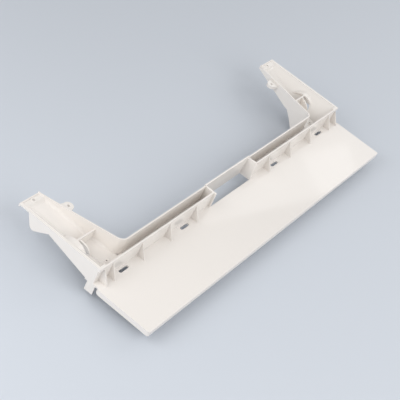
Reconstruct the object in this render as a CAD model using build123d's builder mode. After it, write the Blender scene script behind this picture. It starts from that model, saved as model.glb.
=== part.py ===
"""One-piece injection moulded housing: a long trough on the back edge of a flat
panel, with a tapering arm at each end.

X runs along the trough, +Y from the panel towards the arm tips, +Z up.
The origin is the middle of the overall box, on the plane of the feet.
All sizes are in millimetres.
"""
import os

from build123d import *

# Overall sizes
panel_length = 600.0      # panel, side to side
panel_depth = 87.0        # front edge of the panel to the front wall
body_length = 594.0       # outer face of one arm to the other
arm_length = 128.1        # front wall to the arm tips
wall_height = 24.3        # panel top to the top of the walls
leg_drop = 22.0           # panel top down to the feet
trough_width = 15.65      # front wall to the back of the rear wall

# Plates and walls
plate_t = 2.2             # panel, trough floor and arm floor
wall_t = 2.0              # upright walls and ribs
skirt_drop = 7.0          # panel top to the bottom of its skirt
panel_rear_gap = 4.0      # front wall to the back of the panel's side corners
rear_corner_r = 8.0
front_corner_r = 3.0

# Window in the middle of the trough
window_length = 100.0
window_lip = 3.0          # window edge in front of the front wall
end_wall_t = 3.0
left_lean = 1.4           # top of the left end wall, away from the window
right_rear_lean = 2.6     # top of the right end wall, at the rear wall
right_front_lean = 4.6    # top of the right end wall, at the front wall
right_setback = 3.6       # top of the right end wall's front edge, behind its foot
raised_length = 110.0     # raised middle of the rear wall
raised_height = 2.4

# Gussets in front of the front wall
gusset_first = 92.3       # middle of the bar to the first gusset
gusset_pitch = 59.3
gusset_height = 21.5
gusset_toe = 11.6
left_gusset_inset = 11.0  # outer face of the left arm to its end gusset
right_gusset_inset = 5.0  # outer face of the right arm to its end gusset
end_gusset_height = 20.0

# Recess at each end of the front wall
recess_length = 10.0
recess_height = 20.0
recess_depth = 2.0

# Slots through the panel
slot_inner = 114.3        # middle of the bar to the inner slot
slot_outer = 245.4        # middle of the bar to the outer slot
slot_length = 18.0
slot_width = 4.5
slot_gap = 4.9            # front wall to the slot's middle line

# Arms
arm_root_width = 67.3     # outer face to the inner wall, at the front wall
arm_tip_width = 36.3
floor_root_width = 28.1   # inner wall to the crease of the sloping side
floor_tip_width = 26.9
rim_width = 3.0           # flat rim outside the sloping side
knee_y = 60.0             # front wall to the bend in the arm floor
knee_height = 5.0
floor_tip_height = 22.4
corner_r = 10.0           # outside corner between rear wall and arm
side_root_drop = 4.0      # panel top to the outer wall's edge, at the front wall
side_end = 113.2          # front wall to where the outer wall runs out

# Legs
leg_toe = 31.0            # front wall to the back of the foot
leg_bend_y = 45.0
leg_bend_drop = 6.0
leg_top_y = 54.0          # front wall to where the leg meets the arm floor
hook_front = 2.0
hook_back = 10.0
hook_drop = 15.5

# Ear under each arm
ear_front = 78.0
ear_low_y = 102.5
ear_low = 1.0
ear_r = 6.0
ear_root = 8.0            # end of the outer wall to the ear, along the rim

# Screw places
hole_r = 2.0
tab_y = 93.6
tab_out = 8.55            # inner wall to the tab's hole
tab_r = 6.6
tab_length = 18.5         # along the inner wall
tab_t = 4.5
tab_top = 21.5
tip_hole_back = 5.0       # arm tip to the tip's hole
tip_hole_inset = 21.0     # outer face to the tip's hole
tip_boss_r = 4.2
tip_boss_top = 23.4
tip_boss_height = 4.0
tip_rim_t = 1.5           # upright rim across the arm tip
tip_pad_length = 9.0
tip_pad_slope = 4.0
tip_pad_top = 22.9
floor_boss_y = 15.8
floor_boss_inset = 43.5
floor_boss_r = 3.6
floor_boss_top = 0.8
floor_hole_r = 1.5
floor_cove_r = 4.0        # round between the inner wall and the arm floor
corner_cove_r = 1.0       # the same round where it starts, at the corner

# Cross rib and round guide in each arm
rib_y = 50.5
rib_top = 18.6
rib_foot = 5.0            # arm floor to the foot of the rib's outer edge
guide_y = 51.0            # front wall to the guide's axis, which runs along X
guide_drop = 4.0          # panel top down to the axis
guide_r = 21.0
guide_t = 2.2
guide_inset = 19.6        # outer face to the guide's open face
guide_depth = 12.0
plate_inset = 23.5        # outer face to the round plate, above the axis
plate_gap_y = 27.0        # front wall to the front of the gap beside the plate

half_panel = panel_length / 2
side_x = body_length / 2
rear_y = trough_width - wall_t
rim_x = side_x - rim_width
low = -leg_drop
wall_slant = (arm_root_width - arm_tip_width) / arm_length
wall_skew = wall_t * (1 + wall_slant**2) ** 0.5
sink = 0.5                # how far a feature is set into the wall it grows from
past = 1.0                # how far a cutter reaches past what it cuts
drill = 20.0              # length of the cutter of a screw hole


def inner_x(y):
    """Inboard face of an arm's inner wall."""
    return side_x - arm_root_width + wall_slant * y


def crease_x(y):
    """Crease between an arm's floor and its sloping side."""
    along = y / arm_length
    return inner_x(y) + floor_root_width + (floor_tip_width - floor_root_width) * along


def floor_z(y):
    """Top of an arm's floor."""
    if y <= rear_y:
        return 0.0
    if y <= knee_y:
        return knee_height * (y - rear_y) / (knee_y - rear_y)
    return knee_height + (floor_tip_height - knee_height) * (y - knee_y) / (arm_length - knee_y)


def side_z(y):
    """Lower edge of an arm's outer wall."""
    return (wall_height + side_root_drop) * y / side_end - side_root_drop


def block(x0, x1, y0, y1, z0, z1, mode=Mode.ADD):
    """Box between two corners."""
    with Locations(((x0 + x1) / 2, (y0 + y1) / 2, (z0 + z1) / 2)):
        Box(x1 - x0, y1 - y0, z1 - z0, mode=mode)


# One half, with the panel top at Z 0 and the front wall's front face at Y 0
with BuildPart() as half:
    # Rear wall and the arm's inner wall, one bent strip
    with BuildSketch(Plane.XY.offset(low)):
        with BuildLine():
            Polyline(
                (0, rear_y),
                (inner_x(rear_y) + wall_skew, rear_y),
                (inner_x(arm_length) + wall_skew, arm_length),
                (inner_x(arm_length), arm_length),
                (inner_x(trough_width), trough_width),
                (0, trough_width),
                close=True,
            )
        make_face()
        corner = Vector(inner_x(trough_width), trough_width, 0)
        bend = Vector(inner_x(rear_y) + wall_skew, rear_y, 0)
        fillet(vertices().sort_by_distance(corner)[0], corner_r)
        fillet(vertices().sort_by_distance(bend)[0], corner_r + wall_t)
    extrude(amount=wall_height + leg_drop)

    # Below the rear wall, short of the leg
    leg_x = inner_x(trough_width) - corner_r
    block(-past, leg_x, 0, trough_width + past, low - past, -plate_t, Mode.SUBTRACT)

    # Below the arm, behind the leg
    with BuildSketch(Plane.YZ.offset(leg_x - past)):
        with BuildLine():
            Polyline(
                (leg_toe, low - past),
                (leg_toe, low),
                (leg_bend_y, -leg_bend_drop),
                (leg_top_y, floor_z(leg_top_y) - plate_t),
                (knee_y, knee_height - plate_t),
                (arm_length, floor_tip_height - plate_t),
                (arm_length + past, floor_tip_height - plate_t),
                (arm_length + past, low - past),
                close=True,
            )
        make_face()
    extrude(amount=arm_root_width + corner_r + 2 * past, mode=Mode.SUBTRACT)

    # Panel with a skirt round three sides
    with BuildSketch(Plane.XY.offset(-skirt_drop)):
        with BuildLine():
            Polyline(
                (0, -panel_depth),
                (half_panel, -panel_depth),
                (half_panel, -panel_rear_gap),
                (0, -panel_rear_gap),
                close=True,
            )
        make_face()
        ends = vertices().filter_by_position(Axis.X, half_panel - past, half_panel + past)
        fillet(ends.sort_by(Axis.Y)[0], front_corner_r)
        ends = vertices().filter_by_position(Axis.X, half_panel - past, half_panel + past)
        fillet(ends.sort_by(Axis.Y)[-1], rear_corner_r)
    extrude(amount=skirt_drop)

    # Hollow under the panel
    with BuildSketch(Plane.XY.offset(-skirt_drop)):
        with BuildLine():
            Polyline(
                (-past, wall_t - panel_depth),
                (half_panel - wall_t, wall_t - panel_depth),
                (half_panel - wall_t, -panel_rear_gap - rear_corner_r),
                (half_panel - rear_corner_r - wall_t, -panel_rear_gap - wall_t),
                (half_panel - rear_corner_r - wall_t, 0),
                (-past, 0),
                close=True,
            )
        make_face()
    extrude(amount=skirt_drop - plate_t, mode=Mode.SUBTRACT)

    # Trough floor
    block(0, side_x, -panel_rear_gap - wall_t, rear_y + sink, -plate_t, 0)

    # Front wall, and the thicker end behind the recess
    block(window_length / 2 + 2 * end_wall_t, side_x, 0, wall_t, -plate_t, wall_height)
    block(side_x - recess_length - wall_t, side_x, 0, wall_t + recess_depth, -plate_t, wall_height)
    block(side_x - recess_length, side_x + past, -past, recess_depth, 0, recess_height, Mode.SUBTRACT)

    # Raised middle of the rear wall
    block(0, raised_length / 2, rear_y, trough_width, wall_height - sink, wall_height + raised_height)

    # Window through the trough floor
    block(-past, window_length / 2, -window_lip, rear_y, -plate_t - past, past, Mode.SUBTRACT)

    # Gussets on the front wall
    for index in range(4):
        place = gusset_first + index * gusset_pitch
        with BuildSketch(Plane.YZ.offset(place - wall_t / 2)):
            with BuildLine():
                Polyline((sink, 0), (-gusset_toe, 0), (0, gusset_height), (sink, gusset_height), close=True)
            make_face()
        extrude(amount=wall_t)

    # Slots through the panel
    for place in (slot_inner, slot_outer):
        with BuildSketch(Plane.XY.offset(-plate_t - past)):
            with Locations((place, -slot_gap)):
                SlotOverall(slot_length, slot_width)
        extrude(amount=plate_t + 2 * past, mode=Mode.SUBTRACT)

    # Outer wall of the arm
    with BuildSketch(Plane.YZ.offset(side_x - wall_t)):
        with BuildLine():
            Polyline(
                (recess_depth, wall_height),
                (recess_depth, -plate_t),
                ((side_root_drop - plate_t) * side_end / (wall_height + side_root_drop), -plate_t),
                (side_end, wall_height),
                close=True,
            )
        make_face()
    extrude(amount=wall_t)

    # Flat rim along the outer wall
    block(rim_x - sink, side_x, sink, arm_length, wall_height - wall_t, wall_height)

    # Hook leg below the outer wall
    block(side_x - wall_t, side_x, -hook_front, hook_back, -hook_drop, 0)

    # Ear below the outer wall
    with BuildSketch(Plane.YZ.offset(side_x - wall_t)):
        with BuildLine():
            Polyline(
                (ear_front, side_z(ear_front) + wall_t),
                (ear_front, side_z(ear_front)),
                (ear_low_y, ear_low),
                (side_end, wall_height),
                (side_end - ear_root, wall_height),
                close=True,
            )
        make_face()
        tip = Vector(ear_low_y, ear_low, 0)
        fillet(vertices().sort_by_distance(tip)[0], ear_r)
    extrude(amount=wall_t)

    # Sloping side of the arm, from the crease up to the rim
    for station in (wall_t / 2, rear_y, knee_y, arm_length):
        with BuildSketch(Plane.XZ.offset(-station)):
            with BuildLine():
                Polyline(
                    (crease_x(station), floor_z(station) - plate_t),
                    (crease_x(station), floor_z(station)),
                    (rim_x, wall_height),
                    (rim_x, wall_height - plate_t),
                    close=True,
                )
            make_face()
    loft(ruled=True)

# Arm floor, cut to its plan outline
with BuildPart() as floor:
    with BuildSketch(Plane.YZ.offset(inner_x(0))):
        with BuildLine():
            Polyline(
                (rear_y, -plate_t),
                (rear_y, 0),
                (knee_y, knee_height),
                (arm_length, floor_tip_height),
                (arm_length, floor_tip_height - plate_t),
                (knee_y, knee_height - plate_t),
                close=True,
            )
        make_face()
    extrude(amount=arm_root_width)
    with BuildSketch(Plane.XY.offset(-plate_t - past)):
        with BuildLine():
            Polyline(
                (inner_x(rear_y) + wall_t / 2, rear_y),
                (crease_x(rear_y), rear_y),
                (crease_x(knee_y), knee_y),
                (crease_x(arm_length), arm_length),
                (inner_x(arm_length) + wall_t / 2, arm_length),
                close=True,
            )
        make_face()
    extrude(amount=wall_height + plate_t + past, mode=Mode.INTERSECT)

# Collar of the round guide, a half drum whose axis runs along X
with BuildPart() as collar:
    with BuildSketch(Plane.YZ.offset(side_x - guide_inset)):
        with Locations((guide_y, -guide_drop)):
            Circle(guide_r + guide_t)
            Circle(guide_r, mode=Mode.SUBTRACT)
    extrude(amount=guide_depth)
    collar_low = -guide_drop - guide_r - guide_t - past
    block(0, side_x, 0, arm_length, collar_low, knee_height, Mode.SUBTRACT)

# Gap of the round guide, between its plate and the collar
plate_x = side_x - plate_inset
with BuildPart() as gap:
    with BuildSketch(Plane.YZ.offset(inner_x(0))):
        with Locations((guide_y, -guide_drop)):
            Circle(guide_r)
    extrude(amount=arm_root_width)
    with BuildSketch(Plane.XY.offset(-plate_t - past)):
        with BuildLine():
            Polyline(
                (plate_x + wall_slant * (plate_gap_y - guide_y), plate_gap_y),
                (side_x - guide_inset + past, plate_gap_y),
                (side_x - guide_inset + past, rib_y + wall_t / 2),
                (plate_x + wall_slant * (rib_y + wall_t / 2 - guide_y), rib_y + wall_t / 2),
                close=True,
            )
        make_face()
    extrude(amount=wall_height, mode=Mode.INTERSECT)

# Round plate of the guide, a quarter disc in line with the inner wall
with BuildPart() as plate:
    with BuildSketch(Plane.YZ.offset(inner_x(0))):
        with Locations((guide_y, -guide_drop)):
            Circle(guide_r)
    extrude(amount=arm_root_width)
    with BuildSketch(Plane.XY.offset(-plate_t)):
        with BuildLine():
            Polyline(
                (plate_x - wall_skew + wall_slant * (plate_gap_y - guide_y), plate_gap_y),
                (plate_x + wall_slant * (plate_gap_y - guide_y), plate_gap_y),
                (plate_x + wall_slant * (rib_y - guide_y), rib_y),
                (plate_x - wall_skew + wall_slant * (rib_y - guide_y), rib_y),
                close=True,
            )
        make_face()
    extrude(amount=wall_height + plate_t, mode=Mode.INTERSECT)

# Pad that fills the arm tip, cut to its plan outline
pad_y = arm_length - tip_pad_length
with BuildPart() as pad:
    with BuildSketch(Plane.YZ.offset(inner_x(0))):
        with BuildLine():
            Polyline(
                (pad_y - tip_pad_slope, floor_z(pad_y - tip_pad_slope) - sink),
                (pad_y, tip_pad_top),
                (arm_length, tip_pad_top),
                (arm_length, floor_z(arm_length) - sink),
                close=True,
            )
        make_face()
    extrude(amount=arm_root_width)
    with BuildSketch():
        with BuildLine():
            Polyline(
                (inner_x(pad_y - tip_pad_slope) + wall_t / 2, pad_y - tip_pad_slope),
                (rim_x, pad_y - tip_pad_slope),
                (rim_x, arm_length),
                (inner_x(arm_length) + wall_t / 2, arm_length),
                close=True,
            )
        make_face()
    extrude(amount=wall_height, mode=Mode.INTERSECT)

with BuildPart() as side:
    add(half.part)
    add(floor.part)

    # Round between the inner wall and the arm floor
    for station, radius in (
        (trough_width + corner_r, corner_cove_r),
        (trough_width + 2 * corner_r, floor_cove_r),
        (knee_y, floor_cove_r),
        (arm_length, floor_cove_r),
    ):
        wall_x = inner_x(station) + wall_skew
        base_z = floor_z(station)
        with BuildSketch(Plane.XZ.offset(-station)):
            with BuildLine():
                Polyline(
                    (wall_x, base_z + radius),
                    (wall_x - sink, base_z + radius),
                    (wall_x - sink, base_z - sink),
                    (wall_x + radius, base_z - sink),
                    (wall_x + radius, base_z),
                )
                ThreePointArc(
                    (wall_x + radius, base_z),
                    (wall_x + radius * (1 - 0.5**0.5), base_z + radius * (1 - 0.5**0.5)),
                    (wall_x, base_z + radius),
                )
            make_face()
    loft(ruled=True)

    # Round guide
    add(collar.part)
    add(gap.part, mode=Mode.SUBTRACT)
    add(plate.part)

    # Cross rib from the inner wall to the guide
    with BuildSketch(Plane.XZ.offset(-rib_y - wall_t / 2)):
        with BuildLine():
            Polyline(
                (inner_x(rib_y) + wall_t / 2, floor_z(rib_y) - wall_t / 2),
                (inner_x(rib_y) + wall_t / 2, rib_top),
                (side_x - guide_inset, rib_top),
                (side_x - guide_inset, floor_z(rib_y) + rib_foot),
                (crease_x(rib_y), floor_z(rib_y) - wall_t / 2),
                close=True,
            )
        make_face()
    extrude(amount=wall_t)

    # Pad and rim at the arm tip
    add(pad.part)
    tip_low = floor_tip_height - plate_t
    block(inner_x(arm_length), side_x, arm_length - tip_rim_t, arm_length, tip_low, wall_height)

    # Screw tab on the inner wall
    tab_x = inner_x(tab_y) - tab_out
    lean = tab_r / (1 + wall_slant**2) ** 0.5
    with BuildSketch(Plane.XY.offset(tab_top - tab_t)):
        with BuildLine():
            Polyline(
                (inner_x(tab_y - tab_length / 2) + wall_t / 2, tab_y - tab_length / 2),
                (tab_x - lean * wall_slant, tab_y - lean),
                (tab_x + lean * wall_slant, tab_y + lean),
                (inner_x(tab_y + tab_length / 2) + wall_t / 2, tab_y + tab_length / 2),
                close=True,
            )
        make_face()
        with Locations((tab_x, tab_y)):
            Circle(tab_r)
            Circle(hole_r, mode=Mode.SUBTRACT)
    extrude(amount=tab_t)

    # Boss and hole at the arm tip
    with Locations((side_x - tip_hole_inset, arm_length - tip_hole_back, tip_boss_top)):
        Cylinder(tip_boss_r, tip_boss_height, align=(Align.CENTER, Align.CENTER, Align.MAX))
    with Locations((side_x - tip_hole_inset, arm_length - tip_hole_back, tip_boss_top - tip_boss_height)):
        Cylinder(hole_r, drill, mode=Mode.SUBTRACT)

    # Boss and hole in the arm floor
    with Locations((side_x - floor_boss_inset, floor_boss_y, floor_boss_top)):
        Cylinder(floor_boss_r, floor_boss_top + plate_t, align=(Align.CENTER, Align.CENTER, Align.MAX))
    with Locations((side_x - floor_boss_inset, floor_boss_y, 0)):
        Cylinder(floor_hole_r, drill, mode=Mode.SUBTRACT)

# Both halves
with BuildPart() as shell:
    add(side.part)
    mirror(about=Plane.YZ)

    # End gussets, in the recesses at the ends of the front wall
    for hand, inset in ((-1, left_gusset_inset), (1, right_gusset_inset)):
        with BuildSketch(Plane.YZ.offset(hand * (side_x - inset) - wall_t / 2)):
            with BuildLine():
                Polyline(
                    (recess_depth + sink, 0),
                    (-gusset_toe, 0),
                    (0, end_gusset_height),
                    (recess_depth + sink, end_gusset_height),
                    close=True,
                )
            make_face()
        extrude(amount=wall_t)

    # End walls of the window, each with the end of the front wall
    stub = window_length / 2 + 2 * end_wall_t + sink
    for hand, rear_lean, front_lean in ((-1, left_lean, left_lean), (1, right_rear_lean, right_front_lean)):
        for station, lean in ((-window_lip, front_lean), (rear_y + sink, rear_lean)):
            with BuildSketch(Plane.XZ.offset(-station)):
                with BuildLine():
                    Polyline(
                        (hand * window_length / 2, -plate_t),
                        (hand * window_length / 2, 0),
                        (hand * (window_length / 2 + lean), wall_height),
                        (hand * (window_length / 2 + lean + end_wall_t), wall_height),
                        (hand * (window_length / 2 + end_wall_t), 0),
                        (hand * (window_length / 2 + end_wall_t), -plate_t),
                        close=True,
                    )
                make_face()
        loft(ruled=True)
        with BuildSketch(Plane.XZ):
            with BuildLine():
                Polyline(
                    (hand * (window_length / 2 + end_wall_t / 2), -plate_t),
                    (hand * (window_length / 2 + end_wall_t / 2), 0),
                    (hand * (window_length / 2 + front_lean + end_wall_t / 2), wall_height),
                    (hand * stub, wall_height),
                    (hand * stub, -plate_t),
                    close=True,
                )
            make_face()
        extrude(amount=-wall_t)

    # Right end wall's front edge leans back
    with BuildSketch(Plane.YZ.offset(window_length / 2 - past)):
        with BuildLine():
            Polyline(
                (-window_lip - past, 0),
                (-window_lip, 0),
                (right_setback - window_lip, wall_height),
                (right_setback - window_lip, wall_height + past),
                (-window_lip - past, wall_height + past),
                close=True,
            )
        make_face()
    extrude(amount=right_front_lean + end_wall_t + 2 * past, mode=Mode.SUBTRACT)

# The whole moulding, standing on its feet
with BuildPart() as moulded_housing:
    with Locations((0, (panel_depth - arm_length) / 2, leg_drop)):
        add(shell.part)

moulded_housing.part.label = "moulded_housing"
os.makedirs("parts", exist_ok=True)
export_step(moulded_housing.part, "parts/moulded_housing.step")
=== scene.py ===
# %% [markdown]
# # A moulded housing of warm white plastic
#
# The real part is one shot of plastic: a flat panel with a trough along its back edge, a window in
# the middle of the trough and a tapering hollow arm at each end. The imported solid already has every
# wall and rib, so this lesson adds what a moulded surface has and a solid lacks: edges that are
# never quite sharp, a smooth skin with a fine grain, soft patches of more and less gloss, and the
# light that shows them.

import math

import bmesh
import bpy
from mathutils import Matrix, Vector


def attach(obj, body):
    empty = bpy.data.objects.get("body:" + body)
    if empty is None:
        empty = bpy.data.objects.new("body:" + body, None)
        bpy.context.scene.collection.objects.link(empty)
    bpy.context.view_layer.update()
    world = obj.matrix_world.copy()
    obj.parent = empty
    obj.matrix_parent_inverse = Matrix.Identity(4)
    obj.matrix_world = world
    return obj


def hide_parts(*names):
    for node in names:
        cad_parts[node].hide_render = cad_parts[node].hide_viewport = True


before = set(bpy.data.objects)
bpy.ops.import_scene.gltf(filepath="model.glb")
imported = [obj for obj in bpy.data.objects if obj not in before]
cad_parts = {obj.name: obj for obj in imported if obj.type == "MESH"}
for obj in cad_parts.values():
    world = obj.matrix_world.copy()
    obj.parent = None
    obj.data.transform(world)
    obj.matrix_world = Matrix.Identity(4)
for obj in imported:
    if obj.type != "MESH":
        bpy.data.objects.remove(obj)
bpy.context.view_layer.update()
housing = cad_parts["moulded_housing"]

# %% [markdown]
# ## A mesh that can be softened
#
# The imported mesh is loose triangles, which is right for collision and wrong for a bevel: a bevel
# needs to know which faces share an edge. A copy is merged instead, its flat regions are dissolved
# back into whole faces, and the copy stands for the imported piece.

# %% Merge a copy into whole faces
MERGE_DISTANCE = 1e-6
FLAT_ANGLE = math.radians(0.2)


def merged_copy(source, name):
    """A copy of source with its doubles merged and its flat faces made whole."""
    mesh = bpy.data.meshes.new(name)
    work = bmesh.new()
    work.from_mesh(source.data)
    bmesh.ops.remove_doubles(work, verts=work.verts, dist=MERGE_DISTANCE)
    bmesh.ops.dissolve_limit(
        work,
        angle_limit=FLAT_ANGLE,
        verts=work.verts,
        edges=work.edges,
        use_dissolve_boundaries=False,
    )
    work.to_mesh(mesh)
    work.free()
    piece = bpy.data.objects.new(name, mesh)
    bpy.context.scene.collection.objects.link(piece)
    return piece


shell = merged_copy(housing, "housing_shell")
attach(shell, "root")
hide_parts("moulded_housing")
print("merged faces:", len(shell.data.polygons))

# %% [markdown]
# ## Softened edges
#
# A steel mould leaves a small round on every edge, because a sharp corner in the cavity would crack
# and would not fill. It is half a millimetre or so, too small to see as a shape, but it catches the
# light along every rim. A bevel that is limited by angle makes it everywhere at once. The bevel
# would bend the shading far into the flat faces beside it, so a second modifier weighs each normal
# by the area of its faces: the big flats stay flat, and only the narrow round is shaded as one.

# %% Bevel the edges
EDGE_ROUND = 0.00045
SHARP_ANGLE = math.radians(35)
FULL_WEIGHT = 100

bevel = shell.modifiers.new("edge round", "BEVEL")
bevel.width = EDGE_ROUND
bevel.segments = 2
bevel.limit_method = "ANGLE"
bevel.angle_limit = SHARP_ANGLE
bevel.use_clamp_overlap = True
flats = shell.modifiers.new("flat faces", "WEIGHTED_NORMAL")
flats.mode = "FACE_AREA"
flats.weight = FULL_WEIGHT
for polygon in shell.data.polygons:
    polygon.use_smooth = True
print("edge round:", EDGE_ROUND * 1000, "mm")

# %% [markdown]
# ## Writing shader maths
#
# A node tree for a surface is mostly arithmetic. A small class wraps a socket, so that the maths
# can be written as Python expressions and read like a formula. Every other node comes from one
# method, which takes the node's type, its settings, and the values or links of its sockets.


# %% Sockets as values
class Wire:
    """A shader socket that can be added and multiplied."""

    def __init__(self, paint, socket):
        self.paint = paint
        self.socket = socket

    def math(self, operation, first, second):
        return self.paint.node("ShaderNodeMath", {"operation": operation}, {0: first, 1: second})

    def __add__(self, other):
        return self.math("ADD", self, other)

    __radd__ = __add__

    def __mul__(self, other):
        return self.math("MULTIPLY", self, other)

    __rmul__ = __mul__


class Paint:
    """A material whose nodes are made by one method."""

    def __init__(self, name):
        self.material = bpy.data.materials.new(name)
        self.material.use_nodes = True
        self.tree = self.material.node_tree
        self.tree.nodes.clear()

    def node(self, kind, settings=None, inputs=None, out=0):
        """One node: its settings first, then the values or links of its sockets."""
        made = self.tree.nodes.new(kind)
        for key, value in (settings or {}).items():
            setattr(made, key, value)
        for key, value in (inputs or {}).items():
            if isinstance(value, Wire):
                self.tree.links.new(value.socket, made.inputs[key])
            else:
                made.inputs[key].default_value = value
        return Wire(self, made.outputs[out]) if len(made.outputs) else made


print("shader helpers:", Wire.__name__, Paint.__name__)

# %% [markdown]
# ## The plastic
#
# The plastic is an off-white, slightly warm, and its colour hardly varies. The mould was smooth, so
# the skin mirrors a lamp with a clear edge. What gives it away as moulded is in the gloss: a very
# fine grain, broad soft patches where the melt cooled at different speeds, and a slight waviness on
# the large flat panel that bends reflections. All of it is noise on the object's own coordinates,
# so the pattern is fixed to the part.

# %% Smooth plastic
PLASTIC = (0.86, 0.82, 0.78, 1)
PLASTIC_SHADE = (0.84, 0.80, 0.76, 1)
PLASTIC_IOR = 1.46
PATCH_SCALE, PATCH_DETAIL = 14.0, 3.0
GRAIN_SCALE, GRAIN_DETAIL = 900.0, 2.0
WAVE_SCALE, WAVE_DETAIL = 9.0, 1.0
GLOSS_BASE, GLOSS_PATCHES, GLOSS_GRAIN = 0.035, 0.04, 0.01
WAVE_BUMP = {"Strength": 0.25, "Distance": 0.0006}
GRAIN_BUMP = {"Strength": 0.03, "Distance": 0.00002}


def smooth_plastic():
    """Warm off-white plastic with patchy gloss, faint grain and a wavy flat."""
    paint = Paint("satin plastic")
    place = paint.node("ShaderNodeTexCoord", out="Object")

    def noise(scale, detail):
        spread = {"Vector": place, "Scale": scale, "Detail": detail}
        return paint.node("ShaderNodeTexNoise", {}, spread)

    patches = noise(PATCH_SCALE, PATCH_DETAIL)
    grain = noise(GRAIN_SCALE, GRAIN_DETAIL)
    wave = noise(WAVE_SCALE, WAVE_DETAIL)
    tint = paint.node(
        "ShaderNodeMix",
        {"data_type": "RGBA"},
        {0: patches, 6: PLASTIC, 7: PLASTIC_SHADE},
        out=2,
    )
    gloss = GLOSS_BASE + patches * GLOSS_PATCHES + grain * GLOSS_GRAIN
    ripple = paint.node("ShaderNodeBump", {}, {**WAVE_BUMP, "Height": wave})
    skin = paint.node("ShaderNodeBump", {}, {**GRAIN_BUMP, "Height": grain, "Normal": ripple})
    shader = paint.node(
        "ShaderNodeBsdfPrincipled",
        {},
        {"Base Color": tint, "Roughness": gloss, "Normal": skin, "IOR": PLASTIC_IOR},
    )
    paint.node("ShaderNodeOutputMaterial", {}, {"Surface": shader})
    return paint.material


plastic = smooth_plastic()
shell.data.materials.clear()
shell.data.materials.append(plastic)
print("material:", plastic.name)

# %% [markdown]
# ## Where it stands
#
# The part stands on a plain pale floor with its two legs. Set down loose it would tip forward until
# the front of its skirt touched. Here the panel is kept level, as it would be fitted.

# %% Floor
FLOOR_SIZE = 8.0
FLOOR_COLOUR = (0.62, 0.66, 0.72, 1)
FLOOR_ROUGHNESS = 0.6

floor_mesh = bpy.data.meshes.new("floor")
corner = FLOOR_SIZE / 2
floor_mesh.from_pydata(
    [(-corner, -corner, 0), (corner, -corner, 0), (corner, corner, 0), (-corner, corner, 0)],
    [],
    [(0, 1, 2, 3)],
)
floor = bpy.data.objects.new("floor", floor_mesh)
bpy.context.scene.collection.objects.link(floor)


def pale_floor():
    """A matt pale floor with a touch of blue, so that the warm plastic stands out."""
    paint = Paint("pale floor")
    finish = {"Base Color": FLOOR_COLOUR, "Roughness": FLOOR_ROUGHNESS}
    shader = paint.node("ShaderNodeBsdfPrincipled", {}, finish)
    paint.node("ShaderNodeOutputMaterial", {}, {"Surface": shader})
    return paint.material


floor.data.materials.append(pale_floor())
print("floor:", FLOOR_SIZE, "m")

# %% [markdown]
# ## Light
#
# Four large soft lamps and a grey white world light the part. Two stand on the left, behind the
# front wall's line, so they open the hollow arms and leave the gussets' sides in shade. One in
# front and one on the right soften the walls.
#
# A fifth lamp and a small sixth in front of it hang far to the right, to be seen in the panel:
# glossy plastic shows a pale patch with a clear edge where it mirrors a lamp, and the patch says
# how flat and how smooth the surface is. A lamp is given by its radiance, the brightness of its own
# face, so that its size can be changed without changing how bright it looks in a reflection.


# %% Lamps
def soft_lamp(name, place, aim, size, radiance, turn=0.0):
    """A rectangular lamp at place that faces aim, turned about its own axis by turn degrees.

    Its power is its radiance times pi times its area.
    """
    width, height = size
    data = bpy.data.lights.new(name, "AREA")
    data.shape = "RECTANGLE"
    data.size = width
    data.size_y = height
    data.energy = radiance * math.pi * width * height
    lamp = bpy.data.objects.new(name, data)
    facing = (Vector(aim) - Vector(place)).to_track_quat("-Z", "Y").to_matrix()
    roll = Matrix.Rotation(math.radians(turn), 3, "Z")
    lamp.matrix_world = Matrix.Translation(place) @ (facing @ roll).to_4x4()
    bpy.context.scene.collection.objects.link(lamp)
    return lamp


MIDDLE = (0, 0, 0)
LEFT_ARM = (-0.2, 0, 0)
GLOW_TURN = 51.5

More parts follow.
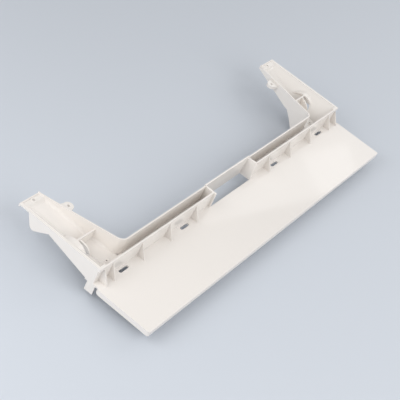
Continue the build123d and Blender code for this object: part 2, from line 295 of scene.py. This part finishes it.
soft_lamp("left light", (-0.95, 0.35, 0.75), LEFT_ARM, (0.9, 0.7), 1.9)
soft_lamp("back light", (-1.4, 0.6, 0.7), MIDDLE, (1.3, 0.9), 1.48)
soft_lamp("front fill", (-0.2, -1.1, 0.95), MIDDLE, (1.8, 1.2), 1.38)
soft_lamp("right fill", (1.2, -0.45, 0.9), MIDDLE, (0.8, 0.9), 1.6)
soft_lamp("panel glow", (1.5, 0.373, 0.888), (0.0, 0.373, 0.888), (0.8, 0.4), 1.2, GLOW_TURN)
soft_lamp("glow core", (1.45, 0.2, 0.86), (0.0, 0.2, 0.86), (0.14, 0.12), 0.7, GLOW_TURN)

# %% [markdown]
# ## The room
#
# The world stands for the pale walls of a studio. It is one even grey white that reaches into every
# corner of the part, so that no shadow is black.

# %% World
WORLD_COLOUR = (1.0, 1.0, 1.0, 1)
WORLD_STRENGTH = 0.47

world = bpy.data.worlds.new("studio")
world.use_nodes = True
sky = world.node_tree.nodes["Background"].inputs
sky["Color"].default_value = WORLD_COLOUR
sky["Strength"].default_value = WORLD_STRENGTH
bpy.context.scene.world = world
print("world strength:", WORLD_STRENGTH)

# %% [markdown]
# ## Camera
#
# The camera looks down along the part from its left front corner with a long lens. Its place and
# its axes are given in the part's own frame: the point in the middle of the part, at the front wall
# and level with the panel's top, is the reference, and the camera is placed from there. The three
# axes are squared up with cross products, so that small errors in the written numbers can't skew
# the picture.

# %% Camera
PANEL_DEPTH = 0.087
ARM_LENGTH = 0.1281
LEG_DROP = 0.022
EYE_OFFSET = (-1.2783, -0.3949, 0.9760)
EYE_RIGHT = (0.540, -0.761, 0.360)
EYE_BACK = (-0.757, -0.252, 0.603)
FOCAL_PIXELS = 1242.3
FRAME_PIXELS = 400
SENSOR_WIDTH = 36.0

reference = Vector((0, (PANEL_DEPTH - ARM_LENGTH) / 2, LEG_DROP))
eye = reference + Vector(EYE_OFFSET)
right = Vector(EYE_RIGHT).normalized()
back = Vector(EYE_BACK).normalized()
up = back.cross(right).normalized()
right = up.cross(back).normalized()

lens = bpy.data.cameras.new("camera")
lens.sensor_fit = "HORIZONTAL"
lens.sensor_width = SENSOR_WIDTH
lens.lens = SENSOR_WIDTH * FOCAL_PIXELS / FRAME_PIXELS
camera = bpy.data.objects.new("camera", lens)
axes = Matrix((right, up, back)).transposed().to_4x4()
camera.matrix_world = Matrix.Translation(eye) @ axes
bpy.context.scene.collection.objects.link(camera)
bpy.context.scene.camera = camera
bpy.context.scene.view_settings.view_transform = "Standard"
print("lens:", round(lens.lens, 1), "mm")
